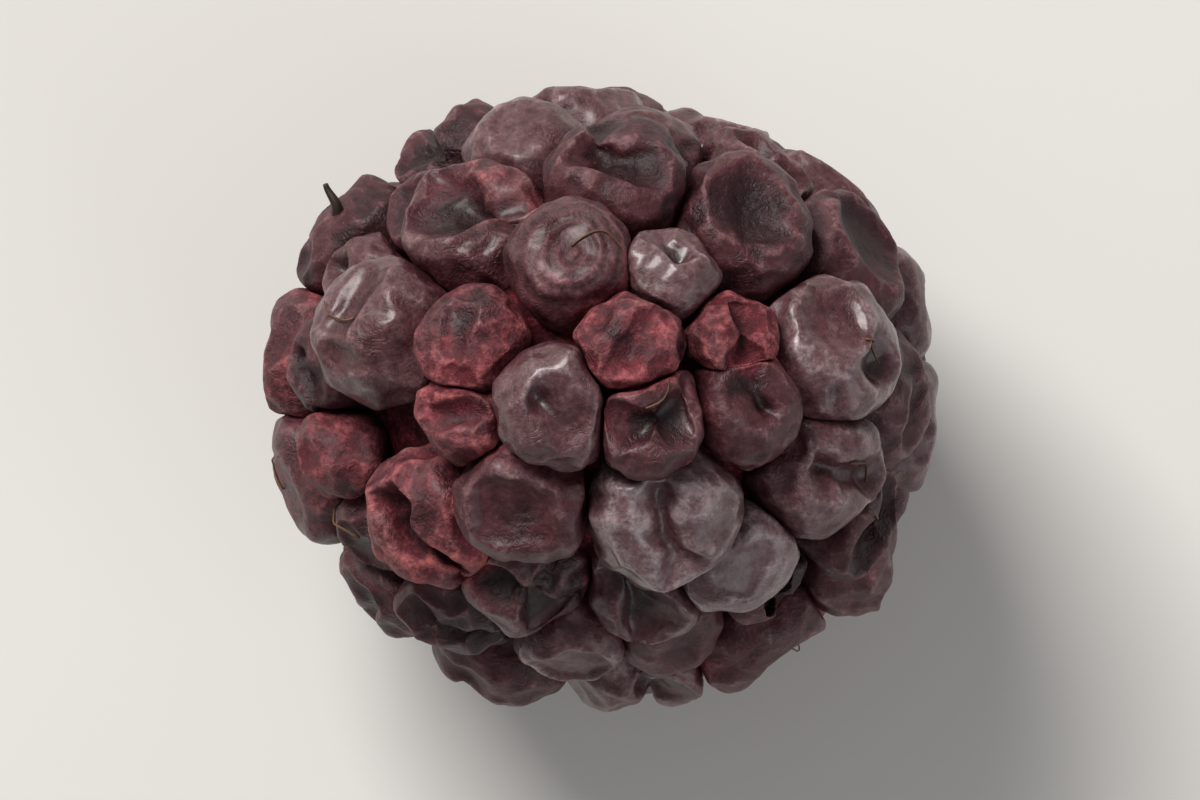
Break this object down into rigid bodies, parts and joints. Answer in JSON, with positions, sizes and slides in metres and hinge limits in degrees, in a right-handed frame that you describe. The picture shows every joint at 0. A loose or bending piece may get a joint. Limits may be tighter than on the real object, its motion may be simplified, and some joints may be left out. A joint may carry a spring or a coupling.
{
  "type": "bramble berry",
  "caption": "Freeze-dried bramble berry: shrivelled dark purple drupelets in rows round a pale receptacle, standing on its stem end with its tip up.",
  "frame": {"origin": "on the surface that the berry rests on, under the middle of its outline seen from above", "axes": "+Z from the stem end to the tip; +X and +Y are the picture's image right and image up, and the berry is wider along X than along Y"},
  "size_m": [0.0206, 0.019, 0.0214],
  "materials": {
    "drupelet_skin": "dry waxy skin, charcoal purple with crimson powdery creases",
    "receptacle_pith": "dry spongy pith, matt, tan with a browned scar"
  },
  "bodies": {
    "root": {"drupelets": "drupelet_skin", "receptacle": "receptacle_pith"}
  },
  "joints": []
}
